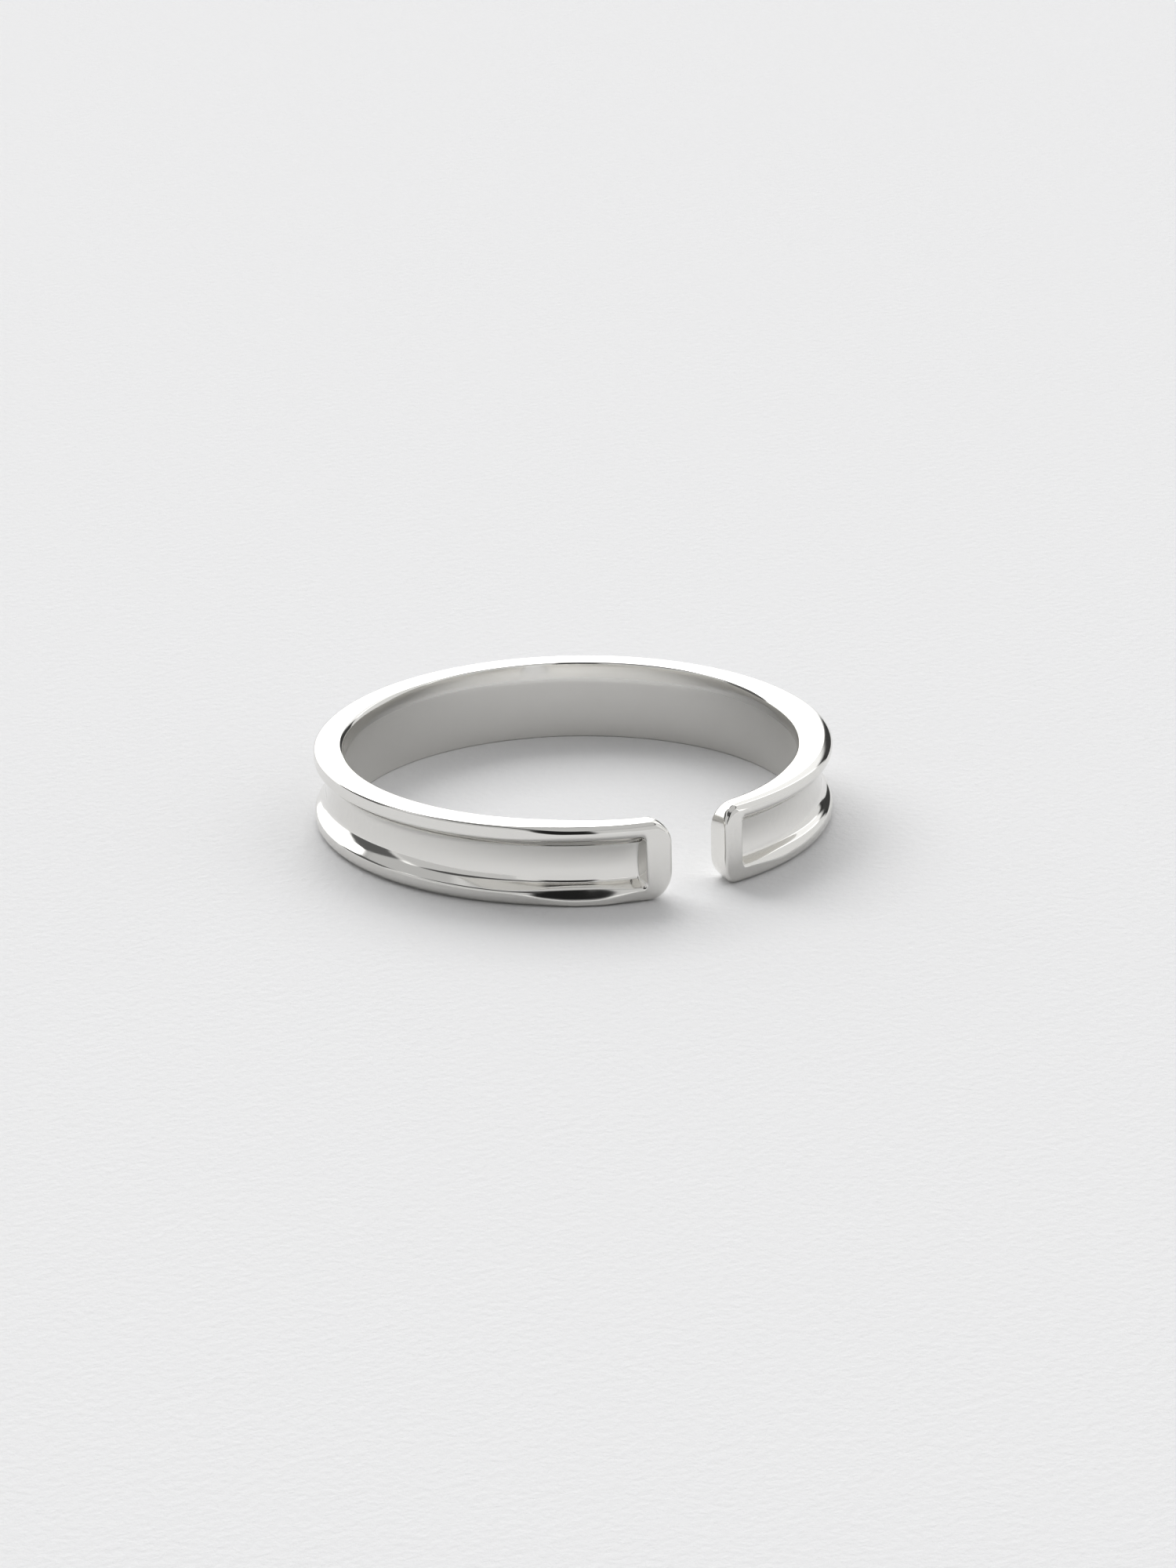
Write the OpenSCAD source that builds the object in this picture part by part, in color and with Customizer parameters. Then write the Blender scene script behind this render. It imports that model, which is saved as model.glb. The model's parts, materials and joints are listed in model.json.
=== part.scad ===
// Open cuff ring: one cast band with a sunk channel round its outside.
// It lies on its side: the finger hole runs along Z, the gap faces -Y.

/* [Band] */
// Inside diameter of the finger hole, mm
finger_d = 17.3; // [15:0.1:22]
// Height of the band along the finger, mm
band_h = 3.1; // [2.8:0.1:5]
// Thickness of the band wall at its two rims, mm
wall_t = 1.15; // [1:0.05:1.8]
// Rounding of the two edges that lie against the finger, mm
finger_edge_r = 0.2; // [0.1:0.05:0.35]
// Rounding of the two outside edges at the top and the bottom, mm
outside_edge_r = 0.2; // [0.1:0.05:0.3]

/* [Channel] */
// Height of each of the two rims beside the channel, mm
rim_h = 0.75; // [0.6:0.05:0.9]
// Depth of the channel floor below the rims, mm
channel_depth = 0.5; // [0.45:0.05:0.6]
// Rounding of the rims towards the channel, mm
rim_round_r = 0.25; // [0.1:0.05:0.25]
// Fillet at the foot of the channel walls, mm
channel_fillet_r = 0.2; // [0.1:0.05:0.2]
// Width of the solid cap between the channel and each tip, mm
cap_w = 0.95; // [0.8:0.05:1.6]

/* [Tips] */
// Clear width of the gap between the two tips, mm
gap_w = 2.2; // [1:0.1:3]
// Corner rounding of a tip at the top, seen from outside, mm
tip_top_r = 0.65; // [0.4:0.05:0.8]
// Corner rounding of a tip at the bottom, seen from outside, mm
tip_bottom_r = 0.9; // [0.4:0.05:1]
// Rounding of the outside upright edge of a tip, mm
tip_edge_r = 0.15; // [0.1:0.05:0.25]

/* [Hidden] */
$fn = 96;

finger_r = finger_d / 2;
rim_r = finger_r + wall_t;
floor_r = rim_r - channel_depth;
tip_x = gap_w / 2;
cap_x = tip_x + cap_w;
// How far the cutting shapes run past what they cut
past = 0.5;

// Rectangle from one corner to the other with a rounding at each side in X:
// near_r at the two corners on the left, far_r at the two on the right.
module rounded_box(low, high, near_r, far_r) {
    for (z_side = [0, 1]) {
        near_z = z_side == 0 ? low[1] + near_r : high[1] - near_r;
        far_z = z_side == 0 ? low[1] + far_r : high[1] - far_r;
        translate([low[0] + near_r, near_z]) circle(near_r);
        translate([high[0] - far_r, far_z]) circle(far_r);
    }
    translate([low[0] + near_r, low[1]])
        square([high[0] - far_r - low[0] - near_r, high[1] - low[1]]);
    translate([low[0], low[1] + near_r])
        square([near_r, high[1] - low[1] - 2 * near_r]);
    translate([high[0] - far_r, low[1] + far_r])
        square([far_r, high[1] - low[1] - 2 * far_r]);
}

// What a rounding of radius r takes off a square corner whose tip is at the
// origin, with the material towards +X and +Y.
module corner_waste(r) {
    difference() {
        translate([-past, -past]) square(r + past);
        translate([r, r]) circle(r);
    }
}

// Section of the band before the channel is cut: radius along X, height along Y.
module band_section() {
    rounded_box([finger_r, 0], [rim_r, band_h], finger_edge_r, outside_edge_r);
}

// Section of the channel: a flat floor with filleted feet, and a mouth that
// rounds over on to both rims.
module channel_section() {
    rounded_box([floor_r, rim_h], [rim_r + past, band_h - rim_h],
                channel_fillet_r, channel_fillet_r);
    translate([rim_r, rim_h]) rotate(180) corner_waste(rim_round_r);
    translate([rim_r, band_h - rim_h]) mirror([1, 0]) corner_waste(rim_round_r);
}

// What a rounding takes off an upright edge of the wall, seen from above. The
// edge is where a flat face at face_x meets the wall's outside. The material
// lies towards +X of the face (toward = 1) or towards -X (toward = -1).
module upright_edge_waste(face_x, toward, edge_r) {
    centre_r = rim_r - edge_r;
    centre_x = face_x + toward * edge_r;
    centre = [centre_x, -sqrt(centre_r * centre_r - centre_x * centre_x)];
    touch = centre * (rim_r + edge_r) / centre_r;
    beside_x = face_x - toward * edge_r;
    difference() {
        polygon([centre, touch, [beside_x, touch[1]], [beside_x, centre[1]]]);
        translate(centre) circle(edge_r);
    }
}

// The solid caps that the channel leaves at both tips, seen from above, with
// the same rounding towards the channel as the rims have.
module caps_from_above() {
    difference() {
        translate([-cap_x, -rim_r - 2 * past]) square([2 * cap_x, rim_r]);
        for (side = [0, 1])
            mirror([side, 0])
                upright_edge_waste(cap_x, -1, rim_round_r);
    }
}

// The channel runs round the outside and stops at a flat wall beside each tip.
module channel() {
    difference() {
        rotate_extrude() channel_section();
        translate([0, 0, -past])
            linear_extrude(height = band_h + 2 * past) caps_from_above();
    }
}

// Outline of the gap seen from the front, with the rounded tip corners.
module gap_front() {
    translate([-tip_x, -past]) square([gap_w, band_h + 2 * past]);
    for (side = [0, 1])
        mirror([side, 0]) {
            translate([tip_x, 0]) corner_waste(tip_bottom_r);
            translate([tip_x, band_h]) mirror([0, 1]) corner_waste(tip_top_r);
        }
}

// The gap between the tips, with their rounded corners and upright edges.
module gap() {
    translate([0, -finger_r / 2, 0]) rotate([90, 0, 0])
        linear_extrude(height = rim_r) gap_front();
    for (turn = [0, 1])
        mirror([turn, 0, 0]) translate([0, 0, -past])
            linear_extrude(height = band_h + 2 * past)
                upright_edge_waste(tip_x, 1, tip_edge_r);
}

// The whole ring: a cast band, its channel and its gap.
module cuff_band() {
    color("silver")
        difference() {
            rotate_extrude() band_section();
            channel();
            gap();
        }
}

cuff_band();
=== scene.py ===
import json
import math

import bpy
import numpy as np
from bpy.props import FloatProperty, FloatVectorProperty, PointerProperty
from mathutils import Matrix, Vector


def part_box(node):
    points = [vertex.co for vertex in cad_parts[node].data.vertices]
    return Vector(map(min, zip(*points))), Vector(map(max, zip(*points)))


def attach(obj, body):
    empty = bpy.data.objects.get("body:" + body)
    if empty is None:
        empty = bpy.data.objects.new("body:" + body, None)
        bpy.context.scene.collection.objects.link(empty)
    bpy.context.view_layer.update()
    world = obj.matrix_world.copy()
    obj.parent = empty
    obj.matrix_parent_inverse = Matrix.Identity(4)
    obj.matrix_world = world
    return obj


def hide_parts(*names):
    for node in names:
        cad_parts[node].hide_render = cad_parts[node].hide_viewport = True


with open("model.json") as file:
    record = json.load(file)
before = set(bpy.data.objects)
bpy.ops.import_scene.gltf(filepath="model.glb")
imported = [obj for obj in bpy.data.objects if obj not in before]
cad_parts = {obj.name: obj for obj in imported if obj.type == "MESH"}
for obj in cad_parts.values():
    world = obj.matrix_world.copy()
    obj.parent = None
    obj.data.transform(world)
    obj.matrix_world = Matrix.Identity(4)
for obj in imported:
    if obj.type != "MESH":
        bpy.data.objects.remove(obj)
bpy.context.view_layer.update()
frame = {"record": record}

bl_info = {
    "name": "Open Cuff Ring",
    "version": (1, 0, 0),
    "blender": (4, 5, 0),
    "location": "3D View > Sidebar > Cuff Ring",
    "description": "Builds a polished open cuff ring and the pale paper stage it lies on",
    "category": "Object",
}

MM = 0.001
NODE = "cuff_band"
BAND_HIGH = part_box(NODE)[1]
FINGER_MOUNT = next(m for m in frame["record"]["mounts"] if m["name"] == "finger_hole")

# Degrees from the ring's front, which faces the camera, to the middle of the gap.
GAP_TURN = 27.75

# Where a form of the band changes: it starts to change at the first distance from the middle
# of the gap and has changed at the second. The crisp polish counts from the left tip.
PLANES_TURN_RADIAL = (3.0 * MM, 7.0 * MM)
CRISP_STARTS = (4.4 * MM, 7.0 * MM)
CRISP_ENDS = (15.0 * MM, 24.0 * MM)
TIP_WEAR_ENDS = (1.5 * MM, 6.0 * MM)
RIGHT_SIDE_STARTS = (3.5 * MM, 9.0 * MM)
LEFT_SIDE_STARTS = (5.0 * MM, 13.0 * MM)
BOTTOM_MOUTH_OPENS = (2.2 * MM, 4.0 * MM)

# The same for the inner wall, in degrees round the ring from its front.
FINE_EDGE_STARTS = (118.0, 140.0)
BACK_LEAN_STARTS = (55.0, 140.0)
RIGHT_LEAN_STARTS = (52.0, 95.0)
RIGHT_LEAN_ENDS = (105.0, 150.0)
HIGH_BEVEL_STARTS = (60.0, 100.0)
HIGH_BEVEL_ENDS = (120.0, 160.0)


def length(name, description, default):
    """A length property in metres."""
    return FloatProperty(name=name, description=description, default=default, min=0.0,
                         precision=6, unit="LENGTH", subtype="DISTANCE")


def angle(name, description, degrees):
    """An angle property, given in degrees and kept in radians."""
    return FloatProperty(name=name, description=description, default=math.radians(degrees),
                         unit="ROTATION", subtype="ANGLE")


def factor(name, description, default, highest=1.0):
    """A plain number from zero to the highest value."""
    return FloatProperty(name=name, description=description, default=default, min=0.0,
                         max=highest, precision=4)


def colour(name, description, default):
    """A linear colour."""
    return FloatVectorProperty(name=name, description=description, default=default, size=3,
                               min=0.0, max=1.0, subtype="COLOR")


class CuffBandSettings(bpy.types.PropertyGroup):
    """Sizes of the band, its channel and its two tips."""

    finger_radius: length("Finger hole radius", "Radius of the plain inner wall",
                          FINGER_MOUNT["dims"]["r_mm"] * MM)
    rim_radius: length("Rim radius", "Outside radius of the two rims", BAND_HIGH.x)
    band_height: length("Band height", "Height of the band along the finger", BAND_HIGH.z)
    channel_depth: length("Channel depth", "Depth of the channel floor near the tips", 0.5 * MM)
    side_depth: length("Side depth", "Depth of the channel floor at the sides and behind",
                       0.38 * MM)
    cove_depth: length("Cove depth", "How much deeper the floor is at mid height than at its foot",
                       0.07 * MM)
    bottom_foot: length("Bottom foot", "Height of the channel's floor above the ring's foot",
                        0.9 * MM)
    side_bottom_foot: length("Side bottom foot", "The same at the sides and behind", 1.2 * MM)
    top_foot: length("Top foot", "From the top of the band down to the channel's floor",
                     0.92 * MM)
    side_top_foot: length("Side top foot", "The same at the sides and behind", 1.05 * MM)
    top_turn: angle("Top wall turn", "How far the channel's top wall turns from the rim face", 55.0)
    bottom_turn: angle("Bottom wall turn", "The same for the bottom wall on the left", 60.0)
    bead_turn: angle("Bead turn", "The same for the bottom wall on the right", 70.0)
    side_turn: angle("Side turn", "The same for both walls on the right side and behind", 54.0)
    left_turn: angle("Left side turn", "The same for the bottom wall on the left side", 45.0)
    crisp_mouth: length("Crisp mouth", "Rounding of the rims towards the channel, front left",
                        0.12 * MM)
    top_mouth: length("Top mouth", "The same rounding on the top rim elsewhere", 0.35 * MM)
    bottom_mouth: length("Bottom mouth", "The same rounding on the bottom rim, left tip", 0.7 * MM)
    bead_mouth: length("Bead mouth", "The same rounding on the bottom rim, right tip", 0.38 * MM)
    side_mouth: length("Side mouth", "The same rounding at the sides and behind", 0.35 * MM)
    end_mouth: length("End mouth", "The same rounding of the bottom rim where the channel ends",
                      0.12 * MM)
    fillet: length("Fillet", "Fillet at the foot of the walls near the tips", 0.1 * MM)
    side_fillet: length("Side fillet", "The same fillet at the sides and behind", 0.5 * MM)
    left_cap: length("Left cap width", "Solid metal between the channel and the left tip",
                     0.92 * MM)
    right_cap: length("Right cap width", "Solid metal between the channel and the right tip",
                      0.74 * MM)
    end_turn: angle("End wall turn", "How far the channel's end walls turn from the cap", 80.0)
    end_round: length("End rounding", "Roundings at the mouth and foot of the end walls",
                      0.06 * MM)
    mouth_corner: length("Mouth corner", "Corner of the channel's mouth, seen from outside",
                         0.2 * MM)
    floor_corner: length("Floor corner", "Corner of the channel's floor, seen from outside",
                         0.05 * MM)
    gap_width: length("Gap width", "Clear width between the two tips", 2.2 * MM)
    crisp_edge: length("Crisp edge", "Outside top shoulder where the polish is crisp", 0.12 * MM)
    worn_rise: length("Worn rise", "Height of the outside top shoulder where it is worn soft",
                      0.36 * MM)
    worn_depth: length("Worn depth", "Radial depth of that worn shoulder", 0.5 * MM)
    bottom_edge: length("Bottom edge", "Rounding of the outside bottom edge", 0.36 * MM)
    tip_edge: length("Tip edge", "Rounding of the outside upright edge of a tip", 0.13 * MM)
    inner_edge: length("Inner edge", "Rounding of the top edge that lies against the finger",
                       0.2 * MM)
    back_edge: length("Back edge", "The same rounding behind", 0.07 * MM)
    inner_foot: length("Inner foot", "Rounding of the bottom edge there", 0.06 * MM)
    inner_wear: length("Inner wear", "How much rounder the top inner edge is near the tips",
                       0.32 * MM)
    inner_upright: length("Inner upright edge", "Rounding of the inside upright edge of a tip",
                          0.1 * MM)
    back_lean: length("Back lean", "How far the back of the inner wall leans in at the top",
                      0.12 * MM)
    right_lean: length("Right lean", "How much further the right side leans in", 0.18 * MM)
    comfort_foot: length("Comfort bevel foot",
                         "Height where the top bevel of the inner wall starts", 2.42 * MM)
    comfort_tilt: angle("Comfort tilt", "Tilt of that bevel from upright", 5.0)
    corner_stretch: factor("Corner stretch", "How much higher than wide the tips' corners are",
                           1.35, 2.0)
    left_top_corner: length("Left top corner", "Width of the left tip's top corner", 0.68 * MM)
    left_bottom_corner: length("Left bottom corner", "Width of the left tip's bottom corner",
                               0.82 * MM)
    right_top_corner: length("Right top corner", "Width of the right tip's top corner, outside",
                             0.62 * MM)
    right_bottom_corner: length("Right bottom corner",
                                "Width of the right tip's bottom corner, outside", 0.6 * MM)
    right_top_inner: length("Right top inner corner",
                            "Width of the right tip's top corner, inside", 0.8 * MM)
    right_bottom_inner: length("Right bottom inner corner",
                               "Width of the right tip's bottom corner, inside", 0.75 * MM)


class SilverFinishSettings(bpy.types.PropertyGroup):
    """Colour and polish of the silver."""

    tone: colour("Silver tone", "Colour of the polished silver", (0.82, 0.812, 0.79))
    roughness: factor("Roughness", "Roughness of the polished outside", 0.09)
    inner_roughness: factor("Inner roughness", "Roughness of the satin inner wall", 0.38)
    wave_size: length("Wave size", "Distance between the soft waves left by hand polishing",
                      2.5 * MM)
    wave_height: length("Wave height", "Height of those waves", 0.004 * MM)
    scratch_size: length("Scratch size", "Spacing of the fine polishing marks", 0.05 * MM)
    scratch_height: length("Scratch height", "Height of the fine polishing marks",
                           0.00005 * MM)


class StageSettings(bpy.types.PropertyGroup):
    """Paper, light and camera."""

    paper_tone: colour("Paper tone", "Colour of the paper", (0.85, 0.85, 0.855))
    paper_reach: length("Paper reach", "How far the paper runs from the ring", 0.9)
    grain_size: length("Paper grain", "Size of the paper's fibres", 0.35 * MM)
    grain_height: length("Grain height", "Height of the paper's fibres", 0.04 * MM)
    camera_azimuth: angle("Camera azimuth", "Turn of the camera from the middle of the gap",
                          -GAP_TURN)
    camera_elevation: angle("Camera elevation", "Height angle of the camera", 20.54)
    camera_distance: length("Camera distance", "Distance from the camera to the ring's foot",
                            220.8 * MM)
    camera_focal: FloatProperty(name="Focal length", default=133.63, min=1.0, unit="CAMERA",
                                description="Focal length for a frame 36 mm high")
    aim_right: angle("Aim to the right", "How far right of the ring's axis the camera aims",
                     0.141)
    aim_up: angle("Aim up", "How far above the ring's foot the camera aims", 0.288)
    roll: angle("Roll", "Turn of the picture about the line of sight", -1.115)


def smoothstep(low, high, value):
    """0 below low, 1 above high, and 3t^2 - 2t^3 between, with t the share of the way."""
    share = np.clip((value - low) / (high - low), 0.0, 1.0)
    return share * share * (3.0 - 2.0 * share)


def soft_minimum(first, second, ease):
    """(a + b - sqrt((a - b)^2 + ease^2)) / 2: below both, with a smooth change between them."""
    return (first + second - np.sqrt((first - second) ** 2 + ease * ease)) / 2.0


class BandLoop:
    """One closed loop round the edge of the unrolled band: bottom, left tip, top, right tip.

    Along the band a place is given by its distance from the middle of the gap. The loop is a
    rectangle with rounded corners, and every loop has the same count of points, so that any
    two loops pair up point by point.
    """

    # Points on a long side, on a corner and on an upright end of a loop.
    LONG, CORNER, UPRIGHT = 420, 20, 11

    # Rows of points down the channel's walls and across its floor.
    WALL_ROWS, FLOOR_ROWS = 20, 6

    def __init__(self, band):
        self.band = band
        self.round_length = 2.0 * math.pi * (band.finger_radius + band.rim_radius) / 2.0
        long, corner, upright = self.LONG, self.CORNER, self.UPRIGHT
        kinds = [long, corner, upright, corner, long, corner, upright, corner]
        self.kind = np.repeat(np.arange(8), kinds)
        self.share = np.concatenate([np.arange(n) / n for n in kinds])
        self.count = len(self.kind)

        # The numbers of two points that face each other across mid height add up to this.
        self.mirror_sum = 2 * long + 2 * corner + upright

    def place(self, inset_along, inset_up, top_corner, bottom_corner, bulge=0.0):
        """Distance along the band and height of every point of the loop.

        A corner is a pair of widths: at the right tip and at the left tip.

        The rectangle runs from inset_along past a tip to the same before the other tip, and
        from inset_up above the bottom to the same below the top. Straight sides are linear in
        the share s of the side, and a corner of width r is centre + r (cos a, stretch sin a).
        The upright ends bulge towards the tips by bulge * 4 s (1 - s).
        """
        tip = self.band.gap_width / 2.0 + inset_along
        far = self.round_length - tip
        low = inset_up
        high = self.band.band_height - inset_up
        turn = self.share * math.pi / 2.0
        sine, cosine = np.sin(turn), np.cos(turn)
        share = self.share
        arch = bulge * 4.0 * share * (1.0 - share)
        top, left_top = top_corner
        bottom, left_bottom = bottom_corner
        along = [
            tip + bottom + (far - tip - bottom - left_bottom) * share,
            far - left_bottom + left_bottom * sine,
            far + arch,
            far - left_top + left_top * cosine,
            far - left_top - (far - tip - top - left_top) * share,
            tip + top - top * sine,
            tip - arch,
            tip + bottom - bottom * cosine,
        ]
        stretch = self.band.corner_stretch
        top, left_top = top * stretch, left_top * stretch
        bottom, left_bottom = bottom * stretch, left_bottom * stretch
        height = [
            low + 0.0 * share,
            low + left_bottom - left_bottom * cosine,
            low + left_bottom + (high - low - left_top - left_bottom) * share,
            high - left_top + left_top * sine,
            high + 0.0 * share,
            high - top + top * cosine,
            high - top - (high - low - top - bottom) * share,
            low + bottom - bottom * sine,
        ]
        return np.choose(self.kind, along), np.choose(self.kind, height)

    def upright_share(self):
        """1 on the upright ends of the loop, 0 on its long sides, smooth round the corners."""
        into = smoothstep(0.0, 1.0, self.share)
        one = np.ones(self.count)
        return np.choose(self.kind, [0 * one, into, one, 1 - into] * 2)


def wrap(band, round_length, along, radius):
    """Rolls the flat band round the finger: distance along and radius to X and Y.

    Near a tip the stations are planes parallel to the gap, x = along, so that the tips and the
    channel's end walls are flat and parallel. Further on they are radial, angle = along / mean
    radius. A smoothstep leads from one to the other, well before x comes near the radius.
    """
    mean_radius = round_length / (2.0 * math.pi)
    right = along < round_length / 2.0
    from_gap = np.where(right, along, round_length - along)
    radial = from_gap / mean_radius
    steepest = 0.9
    flat = np.arcsin(np.clip(from_gap / radius, -1.0, steepest))
    blend = smoothstep(*PLANES_TURN_RADIAL, from_gap)
    turn = (1.0 - blend) * flat + blend * radial
    return np.where(right, 1.0, -1.0) * radius * np.sin(turn), -radius * np.cos(turn)


def crispness(loop, along):
    """1 on the front left, where the polish is crisp, 0 near the tips, right and behind."""
    from_left_tip = loop.round_length - along
    return (smoothstep(*CRISP_STARTS, from_left_tip)
            * (1.0 - smoothstep(*CRISP_ENDS, from_left_tip)))


def outer_edge(band, loop, along, height):
    """Height and radial depth of the outside shoulder at each point of the loop.

    Along the top it is crisp on the front left and worn soft elsewhere. Along the bottom and
    on the upright edges of the tips it is a plain rounding.
    """
    crisp = crispness(loop, along)
    on_top = height > band.band_height / 2.0
    upright = loop.upright_share()
    sizes = []
    for worn in (band.worn_rise, band.worn_depth):
        size = np.where(on_top, worn + (band.crisp_edge - worn) * crisp, band.bottom_edge)
        sizes.append(size + (band.tip_edge - size) * upright)
    return sizes


def degrees_round(round_length, along):
    """Degrees round the ring from its front, from -180 on the left to 180 on the right."""
    turn = along / round_length * 2.0 * math.pi
    turn = np.where(turn > math.pi, turn - 2.0 * math.pi, turn) + math.radians(GAP_TURN)
    return np.degrees(np.where(turn > math.pi, turn - 2.0 * math.pi, turn))


def inner_rounding(band, loop, along, height):
    """Radius of the inside edge at each point of the loop.

    On top it is larger near the tips and smaller behind.
    """
    from_gap = np.minimum(along, loop.round_length - along)
    near_tip = 1.0 - smoothstep(*TIP_WEAR_ENDS, from_gap)
    behind = smoothstep(*FINE_EDGE_STARTS, np.abs(degrees_round(loop.round_length, along)))
    on_top = height > band.band_height / 2.0
    top = band.inner_edge + (band.back_edge - band.inner_edge) * behind
    size = np.where(on_top, top + band.inner_wear * near_tip, band.inner_foot)
    return size + (band.inner_upright - size) * loop.upright_share()


def wall_shape(band, loop, along, height):
    """Turn, depth, mouth radius, fillet radius and floor's foot of the channel's long walls.

    Near the left tip the bottom mouth is broad, on the front left both mouths are crisp, and
    on the right the bottom rim is a round bead. Where the channel ends the bottom mouth tapers
    off. Towards the sides the channel becomes a shallower cove with a large fillet.
    """
    on_top = height > band.band_height / 2.0
    on_right = along < loop.round_length / 2.0
    from_gap = np.minimum(along, loop.round_length - along)
    side = np.where(on_right, smoothstep(*RIGHT_SIDE_STARTS, from_gap),
                    smoothstep(*LEFT_SIDE_STARTS, from_gap))

    def mixed(top, left, right, at_top_side, at_bottom_side):
        """The value near the tips, blended into the value at the sides."""
        near = np.where(on_top, top, np.where(on_right, right, left))
        return near + (np.where(on_top, at_top_side, at_bottom_side) - near) * side

    turn = mixed(band.top_turn, band.bottom_turn, band.bead_turn, band.side_turn,
                 np.where(on_right, band.side_turn, band.left_turn))
    depth = band.channel_depth + (band.side_depth - band.channel_depth) * side
    mouth = mixed(band.top_mouth, band.bottom_mouth, band.bead_mouth, band.side_mouth,
                  band.side_mouth)
    mouth = mouth + (band.crisp_mouth - mouth) * crispness(loop, along)
    taper = np.where(on_top, 0.0, 1.0 - smoothstep(*BOTTOM_MOUTH_OPENS, from_gap))
    mouth = mouth + (band.end_mouth - mouth) * taper
    fillet = band.fillet + (band.side_fillet - band.fillet) * side
    foot = mixed(band.top_foot, band.bottom_foot, band.bottom_foot, band.side_top_foot,
                 band.side_bottom_foot)
    return turn, depth, mouth, fillet, foot


def channel_wall(turn, depth, mouth, fillet, drop):
    """How far in from the rim face a wall of the channel has come at the given drop.

    A convex arc of radius mouth turns from the face by the given turn, a straight piece goes
    down, and a concave arc of radius fillet turns back, so that the drop adds up to depth. An
    arc of radius r that has dropped by d has come sqrt(d (2 r - d)) across. All values may be
    arrays, with one value for each point of the loop.
    """
    fall = 1.0 - np.cos(turn)
    slack = depth - (mouth + fillet) * fall
    if np.any(slack < 0.0):
        raise ValueError("The roundings of the channel's walls don't fit in its depth")
    convex = np.minimum(drop, mouth * fall)
    straight = np.clip(drop - mouth * fall, 0.0, slack)
    left = np.minimum(depth - drop, fillet * fall)
    return (np.sqrt(convex * (2.0 * mouth - convex)) + straight / np.tan(turn)
            + fillet * np.sin(turn) - np.sqrt(left * (2.0 * fillet - left)))


def quarter(steps, first=0.0, last=1.0):
    """Angles in radians, in equal steps, from first to last counted in quarter turns."""
    return np.linspace(first, last, steps + 1) * math.pi / 2.0


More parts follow.
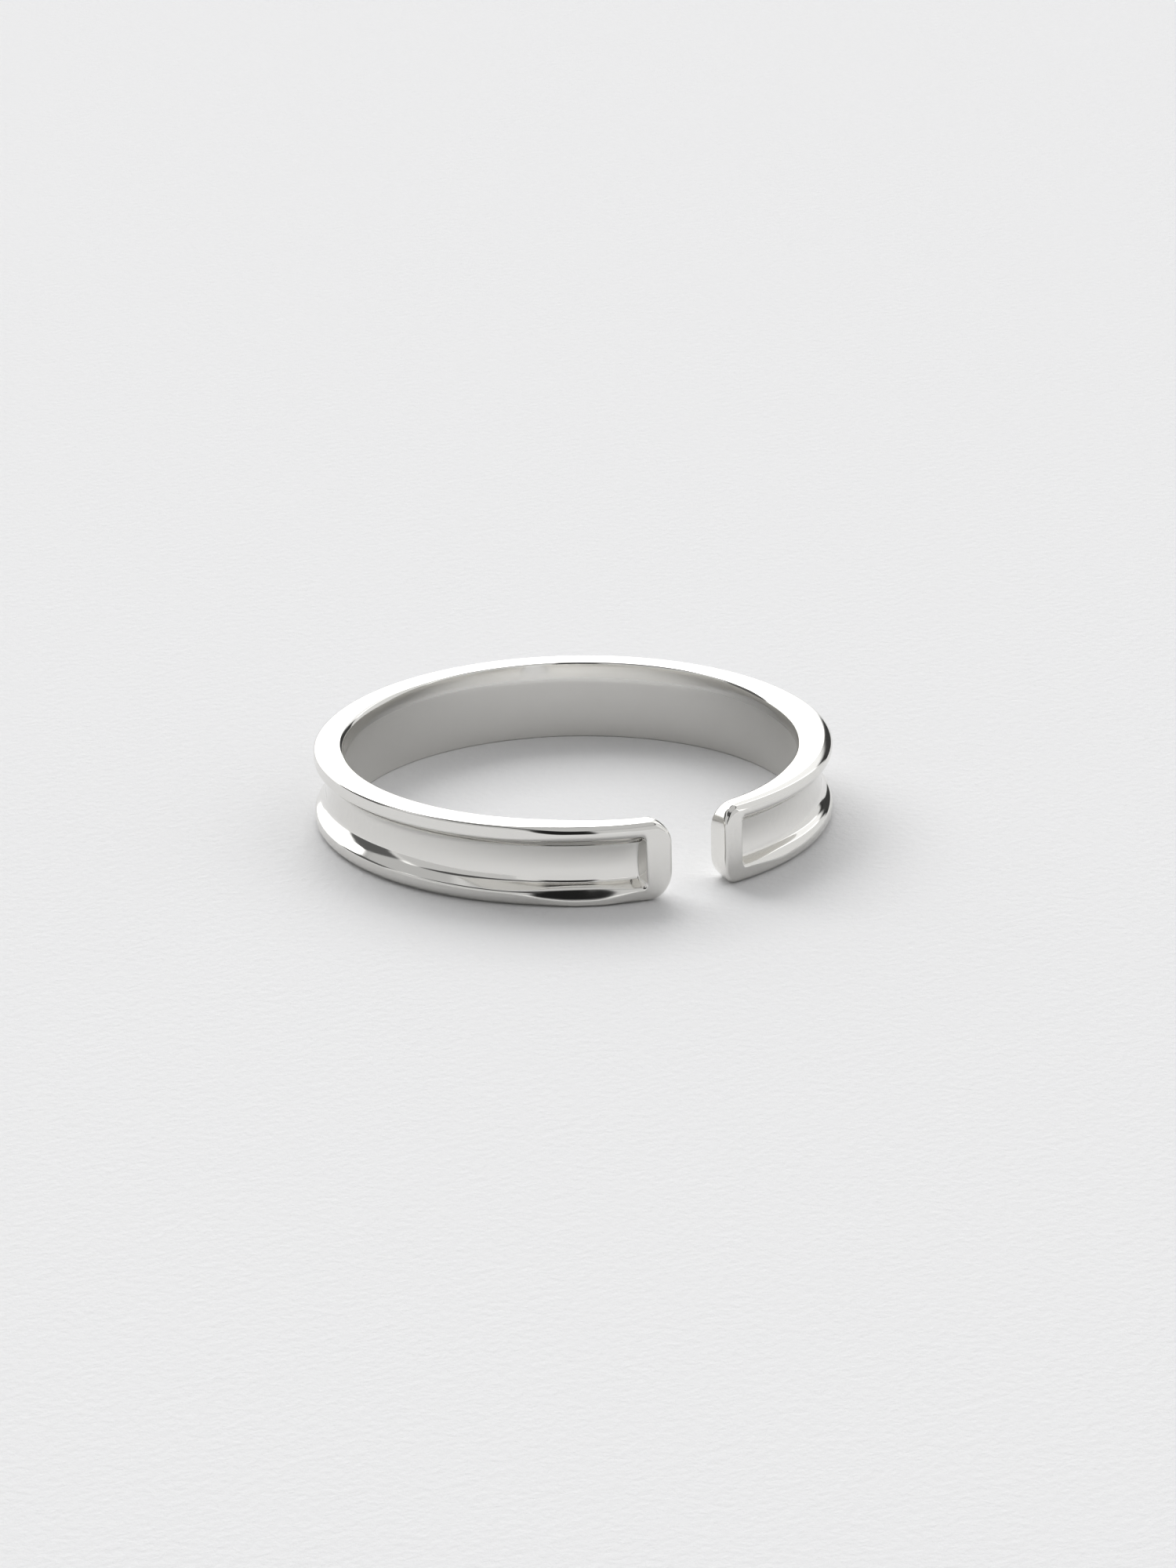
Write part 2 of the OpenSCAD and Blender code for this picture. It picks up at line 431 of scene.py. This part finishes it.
def band_rows(band, loop):
    """The rows of the band's skin, from mid height inside, over the edge, to mid height
    of the channel. Each row is a loop: its (along, height, radius, inner) arrays, where inner
    is 1 on the inner wall and falls to 0 over the flat edge.
    """
    rows = []
    half = band.band_height / 2.0

    def add(inset_along, inset_up, top, bottom, radius, inner=0.0, bulge=0.0):
        """Adds the row that lies at these insets, with these corners, at this radius."""
        along, height = loop.place(inset_along, inset_up, top, bottom, bulge)
        rows.append((along, height, radius + np.zeros(loop.count), inner * np.ones(loop.count)))

    def less(corners, inset, smallest=0.0):
        """Both corner widths of a pair after an inset, at least the smallest."""
        return tuple(np.maximum(corner - inset, smallest) for corner in corners)

    def between(first, last, share):
        """The pair of corner widths that lies at a share of the way between two pairs."""
        return tuple(a + (b - a) * share for a, b in zip(first, last))

    outer_top = (band.right_top_corner, band.left_top_corner)
    outer_bottom = (band.right_bottom_corner, band.left_bottom_corner)
    inner_top = (band.right_top_inner, band.left_top_corner)
    inner_bottom = (band.right_bottom_inner, band.left_bottom_corner)
    outline = loop.place(0.0, 0.0, outer_top, outer_bottom)
    edge = inner_rounding(band, loop, *outline)
    on_right = outline[0] < loop.round_length / 2.0
    cap_width = np.where(on_right, band.right_cap, band.left_cap)
    lip_corner = (band.mouth_corner, band.mouth_corner)
    lip_along = loop.place(cap_width, 0.0, lip_corner, lip_corner)[0]

    def wall_and_face(along):
        """The walls' shape where the loop lies at these places, and the face's height there."""
        turn, sunk, mouth, fillet, foot = wall_shape(band, loop, along, outline[1])
        return (turn, sunk, mouth, fillet), foot - channel_wall(turn, sunk, mouth, fillet, sunk)

    wall, face_up = wall_and_face(lip_along)
    sunk = wall[1]
    rise, depth = outer_edge(band, loop, *outline)
    face_top = np.minimum(face_up, wall_and_face(outline[0])[1])
    least_face, ease = 0.04 * MM, 0.06 * MM
    rise = soft_minimum(rise, face_top - least_face, ease)

    # Plain inner wall, then the quarter circle of its edge. The first loop lies half_strip
    # from mid height, and its ends bulge, so that the strip that closes it has no empty faces.
    half_strip, least_corner, closing_bulge = 0.2 * MM, 0.12 * MM, 0.01 * MM
    for inset in np.linspace((half - half_strip) * np.ones(loop.count), edge, 13)[:-1]:
        add(inset, inset, less(inner_top, inset, least_corner),
            less(inner_bottom, inset, least_corner), band.finger_radius, 1.0,
            closing_bulge if not rows else 0.0)
    for roll in quarter(8, 1.0, 0.0):
        inset = edge * (1.0 - math.cos(roll))
        add(inset, inset, less(inner_top, inset, least_corner),
            less(inner_bottom, inset, least_corner),
            band.finger_radius + edge * (1.0 - math.sin(roll)), 1.0)

    # Top, bottom and tips, between the inner and the outside edge. The tips are crowned by
    # crown * (1 - (2 s - 1)^2), with s the share of the way across.
    start = band.finger_radius + edge
    end = band.rim_radius - depth
    tip_crown = 0.012 * MM
    for share in (0.04, 0.2, 0.4, 0.6, 0.8, 0.96):
        crown = tip_crown * (1.0 - (2.0 * share - 1.0) ** 2)
        add(-crown, 0.0, between(inner_top, outer_top, share),
            between(inner_bottom, outer_bottom, share), start + (end - start) * share,
            1.0 - share)

    # Outside shoulder: a quarter ellipse of the local height and depth.
    for roll in quarter(12):
        inset = rise * (1.0 - math.cos(roll))
        add(inset, inset, less(outer_top, inset), less(outer_bottom, inset),
            band.rim_radius - depth * (1.0 - math.sin(roll)))

    # Walls of the channel: the long walls slope, the end walls stand steep. Each row lies at
    # one drop below the rim face, and the rows lie closer near the mouth and near the floor.
    end_wall = (band.end_turn, sunk, band.end_round, band.end_round)
    wall_rows = []
    for roll in quarter(loop.WALL_ROWS - 1, 0.0, 2.0):
        share = (1.0 - math.cos(roll)) / 2.0
        drop = sunk * share
        corner = band.mouth_corner + (band.floor_corner - band.mouth_corner) * share
        corners = (corner, corner)
        wall_rows.append((cap_width + channel_wall(*end_wall, drop),
                          face_up + channel_wall(*wall, drop), corners, corners,
                          band.rim_radius - drop))

    # Face of the rims and caps, from the shoulder to the channel's mouth.
    face_along, face_height = rows[-1][0], rows[-1][1]
    lip_height = loop.place(*wall_rows[0][:4])[1]
    for share in (0.1, 0.4, 0.7, 0.93):
        rows.append((face_along + (lip_along - face_along) * share,
                     face_height + (lip_height - face_height) * share,
                     band.rim_radius + np.zeros(loop.count), np.zeros(loop.count)))
    for wall_row in wall_rows:
        add(*wall_row)

    # Floor of the channel. Its loops close in on the line at mid height, and the ends creep in
    # by a share of each step. The last loop lies half_strip from that line and bulges too.
    foot_along = cap_width + channel_wall(*end_wall, sunk)
    floor_foot = face_up + channel_wall(*wall, sunk)
    half_strip, least_corner, creep = 0.06 * MM, 0.03 * MM, 0.2
    for place in range(1, loop.FLOOR_ROWS + 1):
        step = (half - half_strip - floor_foot) * place / loop.FLOOR_ROWS
        corners = less((band.floor_corner, band.floor_corner), step, least_corner)
        add(foot_along + creep * step, floor_foot + step, corners, corners,
            band.rim_radius - sunk, 0.0, closing_bulge if place == loop.FLOOR_ROWS else 0.0)
    return [np.array(part) for part in zip(*rows)]


def inner_lean(band, round_length, along, height):
    """How far the hand-finished inner wall lies from the plain round hole, outwards positive.

    Its upper part leans in by lean * u^2, where u runs from 0 a quarter of the way up to 1 at
    the foot of the bevel, and lean grows smoothly from the front to the back, with a bump on
    the right side. Above its foot the bevel leads out again at a steady tilt. The foot rises
    and falls by a small cosine wave round the ring, and lies higher on the right.
    """
    turn = degrees_round(round_length, along)
    lean = band.back_lean * smoothstep(*BACK_LEAN_STARTS, np.abs(turn))
    lean = lean + band.right_lean * (smoothstep(*RIGHT_LEAN_STARTS, turn)
                                     - smoothstep(*RIGHT_LEAN_ENDS, turn))
    foot_wave, higher_on_right, ease = 0.06 * MM, 0.25 * MM, 0.06 * MM
    foot = band.comfort_foot + foot_wave * np.cos(np.radians(3.0 * turn + 40.0))
    foot = foot + higher_on_right * (smoothstep(*HIGH_BEVEL_STARTS, turn)
                                     - smoothstep(*HIGH_BEVEL_ENDS, turn))
    lean_foot = 0.25
    up = np.clip((height / foot - lean_foot) / (1.0 - lean_foot), 0.0, 1.0)
    over = height - foot
    bevel = math.tan(band.comfort_tilt) * (over + np.sqrt(over * over + ease * ease)) / 2.0
    return bevel - lean * up * up


def band_surface(band):
    """Points and faces of the whole band.

    The surface is P(u, v): u runs round the loop of the band's edge and v runs from mid height
    of the inner wall over the edge to mid height of the channel. Both ends of v close with a
    strip between a loop's lower and upper half, whose points pair up as i and sum - i. The
    channel's floor is deepest at mid height, where it gains cove_depth * (1 - t^2) with t the
    height from there as a share of the floor's reach.
    """
    loop = BandLoop(band)
    along, height, radius, inner = band_rows(band, loop)
    sunk = np.clip((band.rim_radius - radius) / band.channel_depth, 0.0, 1.0)
    channel_rows = loop.WALL_ROWS + loop.FLOOR_ROWS
    outside = np.arange(len(radius))[:, None] >= len(radius) - channel_rows
    reach = band.band_height / 2.0 - band.top_foot
    cove = 1.0 - ((height - band.band_height / 2.0) / reach) ** 2
    radius = radius - band.cove_depth * sunk * outside * np.clip(cove, 0.0, 1.0)
    radius = radius + inner * inner_lean(band, loop.round_length, along, height)
    x, y = wrap(band, loop.round_length, along, radius)
    points = np.stack([x, y, height], -1).reshape(-1, 3)
    rows, count = along.shape
    index = np.arange(rows * count).reshape(rows, count)
    here, ahead = index, np.roll(index, -1, axis=1)
    skin = np.stack([here[:-1], ahead[:-1], ahead[1:], here[1:]], -1).reshape(-1, 4)
    total = loop.mirror_sum
    low = np.arange((total - count + 1) // 2, (total - 1) // 2)
    strip = np.stack([low, low + 1, total - low - 1, total - low], -1) % count
    inner_strip = index[0][strip][:, ::-1]
    outer_strip = index[-1][strip]
    faces = np.concatenate([inner_strip, skin, outer_strip])

    # The satin fades out over the edges, and up the bevel from below its foot.
    satin_reach, satin_top, satin_below = 0.12 * MM, 0.4 * MM, -0.2 * MM
    satin = inner * smoothstep(satin_reach, 0.0, radius - band.finger_radius)
    satin = satin * smoothstep(satin_top, satin_below, height - band.comfort_foot)
    return points, faces, satin.reshape(-1)


def mesh_object(name, points, faces):
    """A mesh object at the origin from whole arrays of points and quads."""
    mesh = bpy.data.meshes.new(name)
    mesh.from_pydata(points.tolist(), [], faces.tolist())
    mesh.update()
    mesh.polygons.foreach_set("use_smooth", [True] * len(mesh.polygons))
    thing = bpy.data.objects.new(name, mesh)
    bpy.context.scene.collection.objects.link(thing)
    return thing


def node_material(name):
    """A new material with nodes: (material, its nodes, its links, its surface shader)."""
    material = bpy.data.materials.new(name)
    material.use_nodes = True
    nodes, links = material.node_tree.nodes, material.node_tree.links
    return material, nodes, links, nodes["Principled BSDF"]


def silver_material(finish):
    """Polished silver: a metal mirror with soft hand-polishing waves and fine marks."""
    material, nodes, links, shader = node_material("Polished silver")
    shader.inputs["Metallic"].default_value = 1.0
    shader.inputs["Base Color"].default_value = (*finish.tone, 1.0)
    place = nodes.new("ShaderNodeTexCoord")

    waves = nodes.new("ShaderNodeTexNoise")
    waves.inputs["Scale"].default_value = 1.0 / finish.wave_size
    waves.inputs["Detail"].default_value = 1.5
    links.new(place.outputs["Object"], waves.inputs["Vector"])
    wave_bump = nodes.new("ShaderNodeBump")
    wave_bump.inputs["Strength"].default_value = 1.0
    wave_bump.inputs["Distance"].default_value = finish.wave_height
    links.new(waves.outputs["Fac"], wave_bump.inputs["Height"])

    marks = nodes.new("ShaderNodeTexNoise")
    marks.inputs["Scale"].default_value = 1.0 / finish.scratch_size
    marks.inputs["Detail"].default_value = 3.0
    links.new(place.outputs["Object"], marks.inputs["Vector"])
    mark_bump = nodes.new("ShaderNodeBump")
    mark_bump.inputs["Strength"].default_value = 1.0
    mark_bump.inputs["Distance"].default_value = finish.scratch_height
    links.new(marks.outputs["Fac"], mark_bump.inputs["Height"])
    links.new(wave_bump.outputs["Normal"], mark_bump.inputs["Normal"])
    links.new(mark_bump.outputs["Normal"], shader.inputs["Normal"])

    inside = nodes.new("ShaderNodeAttribute")
    inside.attribute_name = "inner_wall"
    polish = nodes.new("ShaderNodeMapRange")
    polish.inputs["To Min"].default_value = finish.roughness
    polish.inputs["To Max"].default_value = finish.inner_roughness
    links.new(inside.outputs["Fac"], polish.inputs["Value"])
    links.new(polish.outputs["Result"], shader.inputs["Roughness"])
    return material


def paper_material(stage):
    """Pale matt paper with a fine fibre grain."""
    material, nodes, links, shader = node_material("Pale paper")
    shader.inputs["Base Color"].default_value = (*stage.paper_tone, 1.0)
    shader.inputs["Roughness"].default_value = 0.9
    shader.inputs["Specular IOR Level"].default_value = 0.1
    place = nodes.new("ShaderNodeTexCoord")
    grain = nodes.new("ShaderNodeTexNoise")
    grain.inputs["Scale"].default_value = 1.0 / stage.grain_size
    grain.inputs["Detail"].default_value = 4.0
    grain.inputs["Roughness"].default_value = 0.6
    links.new(place.outputs["Object"], grain.inputs["Vector"])
    bump = nodes.new("ShaderNodeBump")
    bump.inputs["Distance"].default_value = stage.grain_height
    links.new(grain.outputs["Fac"], bump.inputs["Height"])
    links.new(bump.outputs["Normal"], shader.inputs["Normal"])
    return material


# Soft lights round the ring, seen from its foot. Azimuth is counted from the line away from
# the camera, to the right; all angles in degrees: (name, azimuth, half width, elevation,
# half height, edge softness, brightness).
SOFT_LIGHTS = (
    ("Window", -24.0, 33.0, 42.0, 15.0, 5.0, 3.4),
    ("Window foot", -24.0, 34.0, 13.0, 15.0, 4.0, 1.5),
    ("Back right", 24.0, 15.0, 42.0, 18.0, 7.0, 1.1),
    ("Back right, low", 22.0, 12.0, 8.0, 12.0, 4.0, 0.06),
    ("Right wall", 72.0, 31.0, 27.0, 31.0, 4.0, 0.84),
    ("Right front", 136.0, 33.0, 28.0, 34.0, 3.0, 0.7),
    ("Left near", -78.0, 15.0, 15.0, 15.0, 5.0, 0.15),
    ("Left near, high", -78.0, 15.0, 49.0, 14.0, 6.0, 0.6),
    ("Left wall", -128.0, 35.0, 18.0, 22.0, 5.0, 0.66),
    ("Left wall, high", -134.0, 34.0, 54.0, 8.0, 4.0, 0.1),
    ("Ceiling", 0.0, 180.0, 90.0, 22.0, 6.0, 0.64),
    ("Behind camera, low", 180.0, 22.0, -4.0, 9.0, 4.0, 0.3),
)
# Brightness of the dim room between the lights.
ROOM = 0.03


def light_world(stage):
    """A dim room with soft lights: each light is a smooth-edged patch of the sky."""
    world = bpy.data.worlds.new("Studio")
    bpy.context.scene.world = world
    world.use_nodes = True
    nodes, links = world.node_tree.nodes, world.node_tree.links

    def maths(operation, first, second=None):
        """The output of a new math node, fed with numbers or with other nodes' outputs."""
        node = nodes.new("ShaderNodeMath")
        node.operation = operation
        for socket, value in zip(node.inputs, (first, second)):
            if value is None:
                continue
            if isinstance(value, (int, float)):
                socket.default_value = value
            else:
                links.new(value, socket)
        return node.outputs[0]

    place = nodes.new("ShaderNodeTexCoord")
    split = nodes.new("ShaderNodeSeparateXYZ")
    links.new(place.outputs["Generated"], split.inputs[0])
    elevation = maths("ARCSINE", split.outputs["Z"])
    turn = maths("ARCTAN2", split.outputs["Y"], split.outputs["X"])
    away = math.pi / 2.0 + stage.camera_azimuth

    def patch(centre, half, soft, angle_socket, wrapped):
        """1 within half of the centre, falling to 0 over the soft edge."""
        offset = maths("SUBTRACT", angle_socket, centre)
        if wrapped:
            offset = maths("WRAP", offset, math.pi)
            offset.node.inputs[2].default_value = -math.pi
        fade = nodes.new("ShaderNodeMapRange")
        fade.interpolation_type = "SMOOTHSTEP"
        fade.inputs["From Min"].default_value = half + soft
        fade.inputs["From Max"].default_value = half
        links.new(maths("ABSOLUTE", offset), fade.inputs["Value"])
        return fade.outputs["Result"]

    light = None
    for name, azimuth, half_width, height, half_height, soft, brightness in SOFT_LIGHTS:
        azimuth, half_width, height, half_height, soft = (
            math.radians(v) for v in (azimuth, half_width, height, half_height, soft))
        spread = maths("MULTIPLY", patch(away - azimuth, half_width, soft, turn, True),
                       patch(height, half_height, soft, elevation, False))
        glow = maths("MULTIPLY", spread, brightness)
        glow.node.label = name
        light = glow if light is None else maths("ADD", light, glow)
    light = maths("ADD", light, ROOM)
    background = nodes["Background"]
    links.new(light, background.inputs["Strength"])
    background.inputs["Color"].default_value = (1.0, 1.0, 1.0, 1.0)


def camera_matrix(stage):
    """Camera at a distance from the origin at an azimuth and elevation, looking at the
    origin, then turned right by aim_right about its up line, up by aim_up about its right
    line, and rolled about its line of sight. The matrix columns are right, up, back, place.
    """
    a, e = stage.camera_azimuth, stage.camera_elevation
    away = np.array([math.sin(a) * math.cos(e), -math.cos(a) * math.cos(e), math.sin(e)])
    forward = -away
    right = np.cross(forward, (0.0, 0.0, 1.0))
    right /= np.linalg.norm(right)
    up = np.cross(right, forward)

    def turned(first, second, amount):
        """first and second turned in their own plane, first towards second."""
        sine, cosine = math.sin(amount), math.cos(amount)
        return first * cosine + second * sine, second * cosine - first * sine

    forward, right = turned(forward, right, stage.aim_right)
    forward, up = turned(forward, up, stage.aim_up)
    right, up = turned(right, up, stage.roll)
    matrix = np.eye(4)
    matrix[:3, 0], matrix[:3, 1], matrix[:3, 2] = right, up, -forward
    matrix[:3, 3] = away * stage.camera_distance
    return matrix


class CUFF_OT_band(bpy.types.Operator):
    """Builds the polished band of the open cuff ring"""

    bl_idname = "cuff.band"
    bl_label = "Cuff Band"

    def execute(self, context):
        points, faces, inner = band_surface(context.scene.cuff_band)
        band = mesh_object("silver_band", points, faces)
        attribute = band.data.attributes.new("inner_wall", "FLOAT", "POINT")
        attribute.data.foreach_set("value", inner)
        band.data.materials.append(silver_material(context.scene.cuff_finish))
        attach(band, "root")
        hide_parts(NODE)
        return {"FINISHED"}


class CUFF_OT_stage(bpy.types.Operator):
    """Lays the paper, lights the room and sets up the camera"""

    bl_idname = "cuff.stage"
    bl_label = "Stage"

    def execute(self, context):
        stage = context.scene.cuff_stage
        reach = stage.paper_reach
        corners = np.array([[-reach, -reach, 0.0], [reach, -reach, 0.0],
                            [reach, reach, 0.0], [-reach, reach, 0.0]])
        paper = mesh_object("paper", corners, np.array([[0, 1, 2, 3]]))
        paper.data.materials.append(paper_material(stage))
        light_world(stage)
        data = bpy.data.cameras.new("Camera")
        data.lens = stage.camera_focal
        data.sensor_width = 36.0
        data.clip_start, data.clip_end = 0.001, 10.0
        camera = bpy.data.objects.new("Camera", data)
        context.scene.collection.objects.link(camera)
        camera.matrix_world = camera_matrix(stage).T
        context.scene.camera = camera
        context.scene.view_settings.view_transform = "Standard"
        context.scene.view_settings.gamma = 0.8
        return {"FINISHED"}


class CUFF_PT_panel(bpy.types.Panel):
    """Lists the steps and the settings of the ring"""

    bl_idname = "CUFF_PT_panel"
    bl_label = "Cuff Ring"
    bl_space_type = "VIEW_3D"
    bl_region_type = "UI"
    bl_category = "Cuff Ring"

    def draw(self, context):
        for step in STEPS:
            self.layout.operator(step.bl_idname)
        for group in GROUPS:
            box = self.layout.box()
            box.label(text=group)
            settings = getattr(context.scene, group)
            for name in settings.bl_rna.properties.keys():
                if name not in ("rna_type", "name"):
                    box.prop(settings, name)


# The panel lists the steps and the groups of settings in this order.
STEPS = (CUFF_OT_band, CUFF_OT_stage)
GROUPS = {"cuff_band": CuffBandSettings, "cuff_finish": SilverFinishSettings,
          "cuff_stage": StageSettings}


def register():
    """Registers the settings, the steps and the panel, and adds the settings to the scene."""
    for group in GROUPS.values():
        bpy.utils.register_class(group)
    for name, group in GROUPS.items():
        setattr(bpy.types.Scene, name, PointerProperty(type=group))
    for step in (*STEPS, CUFF_PT_panel):
        bpy.utils.register_class(step)


def unregister():
    """Takes away what register adds, in the opposite order."""
    for step in reversed((*STEPS, CUFF_PT_panel)):
        bpy.utils.unregister_class(step)
    for name in GROUPS:
        delattr(bpy.types.Scene, name)
    for group in reversed(list(GROUPS.values())):
        bpy.utils.unregister_class(group)


def main():
    register()
    bpy.ops.cuff.band()
    bpy.ops.cuff.stage()


if __name__ == "__main__":
    main()
